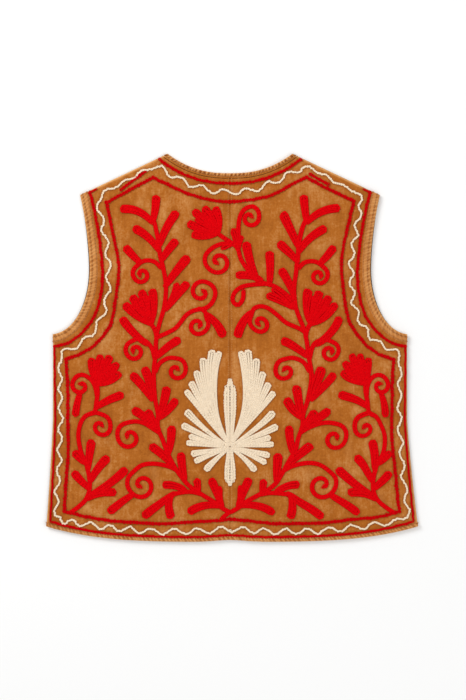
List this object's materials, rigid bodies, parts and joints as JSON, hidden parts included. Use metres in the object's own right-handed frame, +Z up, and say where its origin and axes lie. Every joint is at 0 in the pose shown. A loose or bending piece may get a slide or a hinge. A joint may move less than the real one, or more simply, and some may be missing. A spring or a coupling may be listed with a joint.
{
  "type": "embroidered waistcoat",
  "caption": "Sleeveless velvet waistcoat laid flat with its back up, edged with bands and worked all over with vines, tulips and a palmette in chain stitch.",
  "frame": {"origin": "on the surface the garment lies on, under the middle of its bounding box", "axes": "+X to the right of the laid garment, +Y from the hem to the neck, +Z up from the surface"},
  "size_m": [0.4794, 0.5009, 0.006],
  "materials": {
    "velvet": "soft tan velvet with a fine upright rib and a mottled nap",
    "edge_band": "the same velvet turned and stitched, rubbed paler",
    "red_thread": "bright red wool chain stitch",
    "cream_thread": "cream cotton chain stitch"
  },
  "bodies": {
    "root": {"back_left": "velvet", "back_right": "velvet", "front_left": "velvet", "front_right": "velvet", "neck_binding": "edge_band", "armhole_band_left": "edge_band", "armhole_band_right": "edge_band", "hem_band": "edge_band"}
  },
  "joints": []
}
